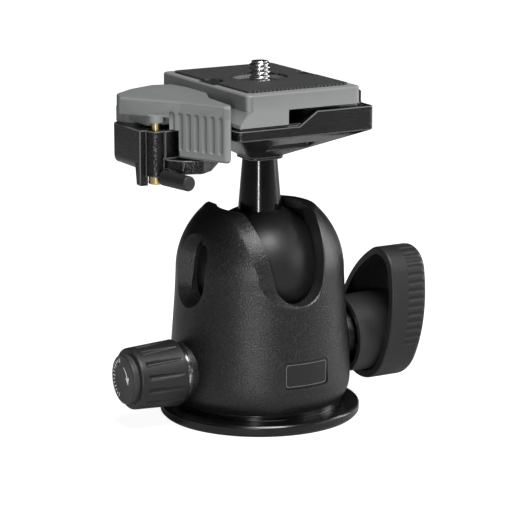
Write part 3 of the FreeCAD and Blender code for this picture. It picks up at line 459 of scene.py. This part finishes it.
FINISHES = {
    "body": powder_coat("body_powder_coat"),
    "base": powder_coat("base_coat", tone=0.003, rough=0.24, grain=2400.0, depth=0.00002, strength=0.4),
    "clamp": powder_coat("clamp_coat", tone=0.003, rough=0.22, grain=1700.0, depth=0.00016),
    "ball": smooth_black("ball_anodised", tone=0.006, rough=0.42),
    "stem": smooth_black("stem_anodised", tone=0.003, rough=0.15),
    "knob": plastic("knob_moulding", tone=0.016, rough=0.46),
    "cap": plastic("cap_moulding", tone=0.03, rough=0.42, grain=1800.0, strength=0.12),
    "dark": plastic("inner_plastic", tone=0.010, rough=0.5),
    "grey": grey_paint("lever_paint", tone=(0.18, 0.19, 0.185), rough=0.5),
    "plate": grey_paint("plate_paint", tone=(0.185, 0.192, 0.188), rough=0.45),
    "rubber": ribbed_rubber("pad_rubber"),
    "bright": metal("bright_steel", tint=(0.78, 0.78, 0.78), rough=0.22),
    "steel": metal("plain_steel", tint=(0.55, 0.55, 0.56), rough=0.32),
    "hard": metal("dark_steel", tint=(0.22, 0.22, 0.23), rough=0.35),
    "brass": metal("brass", tint=(0.83, 0.62, 0.30), rough=0.22),
    "bronze": metal("bronze", tint=(0.45, 0.34, 0.18), rough=0.35),
    "label": smooth_black("label_satin", tone=0.008, rough=0.28),
    "print": plastic("mark_paint", tone=0.75, rough=0.5),
    # light line round the label: a painted highlight of the edge of its recess
    "label_highlight": plastic("painted_label_highlight", tone=0.10, rough=0.4),
    # lighter finish for rounded edges: a painted highlight
    "edge_highlight": plastic("edge_highlight_paint", tone=0.075, rough=0.3),
}
WEARS = {
    "housing": "body", "base_disc": "base", "tripod_bush": "bright", "base_screws": "steel",
    "label_plate": "label", "upper_seat": "dark", "lock_bushing": "hard", "friction_bushing": "bronze",
    "friction_washer": "bright", "lock_wedge": "hard", "pressure_cup": "dark", "lock_shaft": "hard",
    "lock_clip": "steel", "lock_knob": "knob", "lock_cap": "cap", "friction_knob": "knob",
    "friction_cap": "cap", "friction_screw": "hard", "friction_plunger": "hard",
    "friction_spring": "steel", "ball_liner": "dark", "stem_stud": "hard", "stud_nut": "hard",
    "ball": "ball", "stem": "stem", "clamp_base": "clamp", "pivot_pin": "hard", "lever": "grey",
    "lever_jaw": "grey", "safety_pin": "brass", "safety_arm": "knob", "trigger_pin": "brass",
    "trigger_spring": "steel", "plate_body": "plate", "plate_pad": "rubber", "camera_screw": "bright",
    "screw_clip": "steel", "screw_ring": "steel",
}
for name, ob in nodes.items():
    ob.data.materials.clear()
    ob.data.materials.append(FINISHES[WEARS[name]])


# helpers for the pieces made here
def linked_object(name, bm):
    """Object in the scene that takes over a mesh under construction."""
    mesh = bpy.data.meshes.new(name)
    bm.to_mesh(mesh)
    bm.free()
    ob = bpy.data.objects.new(name, mesh)
    bpy.context.scene.collection.objects.link(ob)
    return ob


def place(name, bm, finish, body, *instead_of):
    """Turns a mesh in metres into a piece that rides a body and may stand for CAD nodes."""
    bmesh.ops.recalc_face_normals(bm, faces=bm.faces)
    ob = linked_object(name, bm)
    ob.data.materials.append(FINISHES[finish])
    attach(ob, body)
    if instead_of:
        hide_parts(*instead_of)
    return ob


def smooth(bm):
    """Every face shaded as part of a rounded surface."""
    for face in bm.faces:
        face.smooth = True


def mark_sharp(bm, degrees):
    """Smooth faces, with the edges that fold more than this kept crisp."""
    smooth(bm)
    for edge in bm.edges:
        edge.smooth = len(edge.link_faces) == 2 and edge.calc_face_angle(0.0) < math.radians(degrees)


def welded(node):
    """Copy of a CAD node's mesh with its seams merged."""
    bm = bmesh.new()
    bm.from_mesh(nodes[node].data)
    bmesh.ops.remove_doubles(bm, verts=bm.verts, dist=SAME_SPOT * MM)
    return bm


def soft_edges(ob, width, edge_highlight):
    """Small rounding on the crisp edges, so that they catch the light; the rounding may wear a lighter
    finish, a painted highlight.
    """
    if edge_highlight:
        ob.data.materials.append(FINISHES[edge_highlight])
    rounding = ob.modifiers.new("edge", "BEVEL")
    rounding.width = width * MM
    rounding.segments = EDGE_SEGMENTS
    rounding.limit_method = "ANGLE"
    rounding.angle_limit = math.radians(CREASE)
    rounding.use_clamp_overlap = False
    rounding.harden_normals = True
    rounding.material = 1 if edge_highlight else -1


def rounded_node(node, body, width, edge_highlight=None):
    """The CAD node again, with its crisp edges rounded, and a painted highlight on them where one is given.
    """
    bm = welded(node)
    bmesh.ops.dissolve_limit(bm, angle_limit=math.radians(FLAT), verts=bm.verts, edges=bm.edges)
    mark_sharp(bm, CREASE)
    soft_edges(place(node + "_rounded", bm, WEARS[node], body, node), width, edge_highlight)


def spaced(low, high, step):
    """Even values from low to high, about a step apart."""
    count = max(1, round((high - low) / step))
    return [low + (high - low) * i / count for i in range(count + 1)]


def turned(bm, outline, axis, centre, sides, closed=False):
    """Spins an outline full circle about an axis and gives back its vertices."""
    old = set(bm.verts)
    row = [bm.verts.new(Vector(point) * MM) for point in outline]
    lines = [bm.edges.new(pair) for pair in zip(row, row[1:])]
    if closed:
        lines.append(bm.edges.new((row[-1], row[0])))
    bmesh.ops.spin(bm, geom=row + lines, cent=Vector(centre) * MM, axis=axis, angle=2 * math.pi,
                   steps=sides, use_merge=True)
    return [vert for vert in bm.verts if vert not in old]


def close_holes(bm):
    """A face over each opening."""
    bmesh.ops.holes_fill(bm, edges=[edge for edge in bm.edges if edge.is_boundary], sides=0)


def bridge(bm, rows, loop=False):
    """Faces between neighbouring rows of vertices, each row going round once."""
    pairs = list(zip(rows, rows[1:]))
    if loop:
        pairs.append((rows[-1], rows[0]))
    for low, high in pairs:
        for j in range(len(low)):
            k = (j + 1) % len(low)
            bm.faces.new((low[j], low[k], high[k], high[j]))


def thicken(bm, face, way):
    """Draws a face out along a way in millimetres, into a closed slab."""
    drawn = bmesh.ops.extrude_face_region(bm, geom=[face])["geom"]
    far = [part for part in drawn if isinstance(part, bmesh.types.BMVert)]
    bmesh.ops.translate(bm, verts=far, vec=Vector(way) * MM)


def tooth(z, turn, pitch):
    """Height of a single-start thread between root 0 and crest 1."""
    phase = (z / pitch - turn) % 1.0
    return min(1.0, max(0.0, (1.0 - abs(2.0 * phase - 1.0) - TOOTH_FOOT) / TOOTH_FLANK))


def cut_thread(verts, radius_at):
    """Moves vertices round Z to a radius that depends on height and turn."""
    for vert in verts:
        turn = math.atan2(vert.co.y, vert.co.x) / (2 * math.pi) % 1.0
        share = radius_at(vert.co.z / MM, turn) * MM / math.hypot(vert.co.x, vert.co.y)
        vert.co.x *= share
        vert.co.y *= share


# pieces made here
def camera_screw():
    """Quarter inch screw with a real thread; its head and groove are the CAD ones."""
    bm = welded("camera_screw")
    bmesh.ops.bisect_plane(bm, geom=bm.verts[:] + bm.edges[:] + bm.faces[:],
                           plane_co=(0, 0, CAMERA_CUT_Z * MM), plane_no=(0, 0, 1), clear_outer=True)
    close_holes(bm)
    mark_sharp(bm, CAMERA_CREASE)

    def radius(z, turn):
        start = min(1.0, (z - CAMERA_FADE_Z) / CAMERA_FADE_IN)
        grow = min(1.0, (CAMERA_TOP_Z - z) / CAMERA_FADE_OUT) * start
        return CAMERA_ROOT_R + (CAMERA_CREST_R - CAMERA_ROOT_R) * tooth(z, turn, CAMERA_PITCH) * grow

    heights = spaced(CAMERA_CUT_Z - CAMERA_SINK, CAMERA_TOP_Z, CAMERA_PITCH / THREAD_ROWS)
    verts = turned(bm, [(CAMERA_ROOT_R, 0, z) for z in heights], (0, 0, 1), (0, 0, 0), THREAD_SIDES)
    cut_thread(verts, radius)
    close_holes(bm)
    smooth(bm)
    place("camera_screw_thread", bm, "bright", "screw", "camera_screw")


def tripod_bush():
    """Threaded insert for the tripod stud."""
    bm = bmesh.new()
    heights = spaced(BUSH_LOW, BUSH_TOP, BUSH_PITCH / THREAD_ROWS)
    outline = [(BUSH_ROOT_R, 0, z) for z in heights]
    outline += [(BUSH_WALL_R, 0, BUSH_TOP), (BUSH_WALL_R, 0, BUSH_FLANGE_T),
                (BUSH_FLANGE_R, 0, BUSH_FLANGE_T), (BUSH_FLANGE_R, 0, BUSH_LOW)]
    verts = turned(bm, outline, (0, 0, 1), (0, 0, 0), THREAD_SIDES, closed=True)

    def radius(z, turn):
        return BUSH_ROOT_R - (BUSH_ROOT_R - BUSH_CORE_R) * tooth(z, turn, BUSH_PITCH)

    middle = (BUSH_ROOT_R + BUSH_WALL_R) / 2 * MM
    cut_thread([vert for vert in verts if vert.co.xy.length < middle], radius)
    smooth(bm)
    place("tripod_bush_thread", bm, "bright", "body_group", "tripod_bush")


def notch_outline():
    """Half the notch, from its bottom up one side: (x, z, way out of the slot, share of the full strip)."""
    points = []
    first = -math.pi / 2 - NOTCH_PAST_MIDDLE
    for i in range(NOTCH_ROUND_STEPS + 1):
        along = i / NOTCH_ROUND_STEPS
        angle = first + (-NOTCH_LEAN - first) * along
        x, z = NOTCH_R * math.cos(angle), NOTCH_Z + NOTCH_R * math.sin(angle)
        points.append((x, z, math.cos(angle), math.sin(angle), along ** STRIP_GROWTH))
    x, z, out_x, out_z, _ = points[-1]
    for rise in spaced(0.0, NOTCH_RISE, NOTCH_RISE / NOTCH_RISE_STEPS)[1:]:
        points.append((x + rise * math.tan(NOTCH_LEAN), z + rise, out_x, out_z, 1.0))
    return points


def dome_y(x, z):
    """Distance of the outside of the dome from the middle plane."""
    square = DOME_R ** 2 - x ** 2 - max(0.0, z - DOME_Z) ** 2
    return math.sqrt(max(square, DOME_LEAST_Y ** 2))


def strip_cutter(side, front, full):
    """Wedge that bevels one edge of the notch where it breaks through the dome."""
    bm = bmesh.new()
    rows = []
    for x, z, out_x, out_z, share in notch_outline():
        wide = EDGE_WIDE + (full - EDGE_WIDE) * share
        deep = EDGE_WIDE + (full / STRIP_WIDE * STRIP_DEEP - EDGE_WIDE / 2) * share
        edge_x, edge_z = x + out_x * wide, z + out_z * wide
        slot_x, slot_z = x - out_x * CUT_INTO_SLOT, z - out_z * CUT_INTO_SLOT
        slot_y = dome_y(x, z) - deep - deep * CUT_INTO_SLOT / wide
        corners = [
            Vector((edge_x, dome_y(edge_x, edge_z) + CUT_CLEAR, edge_z)),
            Vector((slot_x, slot_y, slot_z)),
            Vector((slot_x, dome_y(x, z) + CUT_OUTSIDE, slot_z)),
            Vector((edge_x, dome_y(edge_x, edge_z) + CUT_OUTSIDE, edge_z)),
        ]
        rows.append([bm.verts.new((side * at.x * MM, front * at.y * MM, at.z * MM)) for at in corners])
    bridge(bm, rows)
    close_holes(bm)
    bmesh.ops.recalc_face_normals(bm, faces=bm.faces)
    return linked_object("strip_cutter", bm)


def cut_away(ob, cutters):
    """Takes the cutters out of a piece and removes them."""
    for cutter in cutters:
        cut = ob.modifiers.new(cutter.name, "BOOLEAN")
        cut.operation = "DIFFERENCE"
        cut.object = cutter
        cut.solver = "EXACT"
    bpy.context.view_layer.update()
    done = bpy.data.meshes.new_from_object(ob.evaluated_get(bpy.context.evaluated_depsgraph_get()))
    ob.modifiers.clear()
    ob.data = done
    for cutter in cutters:
        bpy.data.objects.remove(cutter)


def housing():
    """The casting with a bevelled strip beside each edge of the notch, front and back."""
    bm = welded("housing")
    mark_sharp(bm, CREASE)
    ob = place("housing_bevelled", bm, "body", "body_group", "housing")
    cut_away(ob, [strip_cutter(-1, -1, STRIP_WIDE), strip_cutter(1, -1, EDGE_WIDE),
                  strip_cutter(1, 1, STRIP_WIDE), strip_cutter(-1, 1, EDGE_WIDE)])
    bm = bmesh.new()
    bm.from_mesh(ob.data)
    bmesh.ops.remove_doubles(bm, verts=bm.verts, dist=SAME_SPOT_CUT * MM)
    mark_sharp(bm, STRIP_CREASE)
    bm.to_mesh(ob.data)
    bm.free()


def grip_outline():
    """Side of the friction knob as (x, radius), from its face round to the end of its bore."""
    front, back = [], []
    for i in range(GRIP_EDGE_STEPS + 1):
        angle = math.pi / 2 * i / GRIP_EDGE_STEPS
        in_by, out_by = GRIP_EDGE_R * (1 - math.cos(angle)), GRIP_EDGE_R * (1 - math.sin(angle))
        front.append((GRIP_X0 + in_by, GRIP_R0 - out_by))
        back.append((GRIP_X1 - out_by, GRIP_R1 - in_by))
    flank = []
    for x in spaced(GRIP_X0 + GRIP_FRONT_GAP, GRIP_X1 - GRIP_BACK_GAP, GRIP_ROW):
        flank.append((x, GRIP_R0 + (GRIP_R1 - GRIP_R0) * (x - GRIP_X0) / (GRIP_X1 - GRIP_X0)))
    collar = GRIP_X1 - GRIP_COLLAR_DEEP
    inside = [(GRIP_X1, GRIP_COLLAR_R), (collar, GRIP_COLLAR_R), (collar, GRIP_BORE_R),
              (GRIP_X0 + GRIP_BORE_END, GRIP_BORE_R)]
    return front + flank + back + inside


def groove_depth(x, turn):
    """Depth of the grip's grooves: blunt at the front, narrower and shallower towards the back."""
    along = (x - GROOVE_X0) / (GROOVE_X1 - GROOVE_X0)
    if along <= 0.0 or along >= 1.0:
        return 0.0
    half = GROOVE_HALF_WIDE - GROOVE_NARROWING * along
    aside = abs((turn * GROOVES) % 1.0 - 0.5) * 2 * math.pi * GROOVE_MEAN_R / GROOVES
    hollow = math.sqrt(max(0.0, 1.0 - (aside / half) ** 2))
    return hollow * (GROOVE_DEEP - GROOVE_SHALLOWING * along) * math.sqrt(min(1.0, along / GROOVE_BLUNT))


def friction_grip():
    """Friction knob with its tapering grooves."""
    bm = bmesh.new()
    outline = [(x, r, GRIP_Z) for x, r in grip_outline()]
    for vert in turned(bm, outline, (1, 0, 0), (0, 0, GRIP_Z), GROOVES * GROOVE_SIDES):
        out = Vector((0, vert.co.y, vert.co.z - GRIP_Z * MM))
        if out.length > GRIP_FLANK_R * MM:
            turn = math.atan2(out.z, out.y) / (2 * math.pi) % 1.0
            vert.co -= out.normalized() * groove_depth(vert.co.x / MM, turn) * MM
    close_holes(bm)
    smooth(bm)
    place("friction_grip", bm, "knob", "friction", "friction_knob")


def mark_on_cap(bm, corners):
    """Thin raised mark on the face of the friction cap over (y, z) corners."""
    ground = [bm.verts.new(Vector((CAP_X + MARK_SUNK, y, GRIP_Z + z)) * MM) for y, z in corners]
    thicken(bm, bm.faces.new(ground), (-MARK_SUNK - MARK_PROUD, 0, 0))


def arrow_shaft():
    """Bowed shaft of the arrow as (y, z) corners."""
    middle = []
    for t in spaced(0.0, 1.0, 1.0 / ARROW_STEPS):
        y = ARROW_Y - ARROW_ACROSS * t - ARROW_BOW * math.sin(math.pi * t)
        middle.append((y, ARROW_Z - ARROW_DOWN * t))
    one_side = [(y + ARROW_HALF_Y, z + ARROW_HALF_Z) for y, z in middle]
    return one_side + [(y - ARROW_HALF_Y, z - ARROW_HALF_Z) for y, z in reversed(middle)]


def cap_marks():
    """Arrow of the turning direction, and ticks along the edge."""
    bm = bmesh.new()
    mark_on_cap(bm, arrow_shaft())
    mark_on_cap(bm, ARROW_HEAD)
    for n in range(TICKS):
        angle = math.radians(TICK_FIRST + TICK_APART * n)
        out = Vector((math.sin(angle), math.cos(angle)))
        aside = Vector((out.y, -out.x)) * TICK_HALF_WIDE
        near = out * (TICK_IN_R + (0.0 if n % TICK_LONG_EACH == 0 else TICK_SHORTER))
        far = out * TICK_OUT_R
        mark_on_cap(bm, [near - aside, far - aside, far + aside, near + aside])
    place("cap_marks", bm, "print", "friction")


def label_outline():
    """Rounded rectangle of the label as (x, z) points, close enough to follow the round housing."""
    corners = []
    for side, up, start in ((1, 1, 0), (-1, 1, 90), (-1, -1, 180), (1, -1, 270)):
        for turn in spaced(0.0, 90.0, 90.0 / LABEL_CORNER_STEPS):
            angle = math.radians(start + turn)
            corners.append((LABEL_X + side * (LABEL_HALF_X - LABEL_CORNER) + LABEL_CORNER * math.cos(angle),
                            LABEL_Z + up * (LABEL_HALF_Z - LABEL_CORNER) + LABEL_CORNER * math.sin(angle)))
    points = []
    for (x0, z0), (x1, z1) in zip(corners, corners[1:] + corners[:1]):
        count = max(1, int(math.hypot(x1 - x0, z1 - z0) / LINE_STEP))
        points += [(x0 + (x1 - x0) * i / count, z0 + (z1 - z0) * i / count) for i in range(count)]
    return points


def label_edge_highlight():
    """Thin light line round the bare label: a painted highlight of the edge of its recess."""
    bm = bmesh.new()
    rows = []
    low, high = LABEL_FACE_R - LINE_SUNK, LABEL_FACE_R + LINE_PROUD
    for inset, r in ((0.0, low), (0.0, high), (LINE_WIDE, high), (LINE_WIDE, low)):
        row = []
        for x, z in label_outline():
            x = LABEL_X + (x - LABEL_X) * (1 - inset / LABEL_HALF_X)
            z = LABEL_Z + (z - LABEL_Z) * (1 - inset / LABEL_HALF_Z)
            row.append(bm.verts.new(Vector((x, -math.sqrt(r * r - x * x), z)) * MM))
        rows.append(row)
    bridge(bm, rows, loop=True)
    place("label_edge_highlight", bm, "label_highlight", "body_group")


def well_ring():
    """Dark ring on the floor of the well round the camera screw."""
    bm = bmesh.new()
    outline = [(WELL_IN_R, 0, WELL_Z), (WELL_R, 0, WELL_Z), (WELL_R, 0, WELL_Z + WELL_OUT_T),
               (WELL_IN_R, 0, WELL_Z + WELL_IN_T)]
    turned(bm, outline, (0, 0, 1), (0, 0, 0), THREAD_SIDES, closed=True)
    smooth(bm)
    place("well_ring", bm, "dark", "plate")


def pad_recesses():
    """Dark floor of the two round bites in the ends of the pad."""
    bm = bmesh.new()
    for side in (-1, 1):
        centre = Matrix.Translation(Vector((side * BITE_X, 0, PLATE_TOP)) * MM)
        round_face = bmesh.ops.create_circle(bm, cap_ends=True, radius=BITE_R * MM, segments=BITE_SIDES,
                                             matrix=centre)
        for vert in round_face["verts"]:
            vert.co.x = side * min(PLATE_EDGE * MM, side * vert.co.x)
        thicken(bm, round_face["verts"][0].link_faces[0], (0, 0, BITE_T))
    place("pad_recesses", bm, "dark", "plate")


camera_screw()
tripod_bush()
housing()
friction_grip()
cap_marks()
label_edge_highlight()
well_ring()
pad_recesses()
# the clamp's rounded edges wear a painted highlight
rounded_node("clamp_base", "ball", CLAMP_EDGE, "edge_highlight")
rounded_node("base_disc", "body_group", BASE_EDGE)


# floor and light
def add_floor():
    """Plain pale floor that the camera sees as white."""
    bm = bmesh.new()
    bmesh.ops.create_grid(bm, x_segments=1, y_segments=1, size=FLOOR_HALF)
    floor = linked_object("floor", bm)
    coat = Finish("floor_pale")
    coat.colour(coat.ramp(coat.grain(3.0), (GRAIN_LOW, 0.38), (GRAIN_HIGH, 0.42)))
    coat.shader.inputs["Roughness"].default_value = 0.9
    coat.shader.inputs["Emission Color"].default_value = WHITE
    glow = coat.node("ShaderNodeMath", operation="MULTIPLY_ADD")
    glow.inputs[1].default_value = FLOOR_GLOW
    glow.inputs[2].default_value = FLOOR_LIGHT
    coat.join(coat.node("ShaderNodeLightPath").outputs["Is Camera Ray"], glow.inputs[0])
    coat.join(glow.outputs[0], coat.shader.inputs["Emission Strength"])
    floor.data.materials.append(coat.material)


def add_light(name, at, to, width, height, power):
    """Rectangular soft light that faces a point."""
    lamp = bpy.data.lights.new(name, "AREA")
    lamp.shape = "RECTANGLE"
    lamp.energy = power
    lamp.size = width
    lamp.size_y = height
    ob = bpy.data.objects.new(name, lamp)
    bpy.context.scene.collection.objects.link(ob)
    ob.location = at
    ob.rotation_euler = (Vector(to) - Vector(at)).to_track_quat("-Z", "Y").to_euler()


def add_world():
    """White behind the object for the camera, and a faint even light on it."""
    world = bpy.data.worlds.new("studio")
    bpy.context.scene.world = world
    world.use_nodes = True
    tree = world.node_tree
    sky = tree.nodes["Background"]
    sky.inputs["Color"].default_value = SKY_COLOUR
    sky.inputs["Strength"].default_value = SKY_STRENGTH
    white = tree.nodes.new("ShaderNodeBackground")
    white.inputs["Color"].default_value = WHITE
    white.inputs["Strength"].default_value = 1.0
    mix = tree.nodes.new("ShaderNodeMixShader")
    path = tree.nodes.new("ShaderNodeLightPath")
    tree.links.new(path.outputs["Is Camera Ray"], mix.inputs[0])
    tree.links.new(sky.outputs[0], mix.inputs[1])
    tree.links.new(white.outputs[0], mix.inputs[2])
    tree.links.new(mix.outputs[0], tree.nodes["World Output"].inputs[0])


add_floor()
add_world()
for light in LIGHTS:
    add_light(*light)
bpy.context.scene.view_settings.view_transform = "Standard"
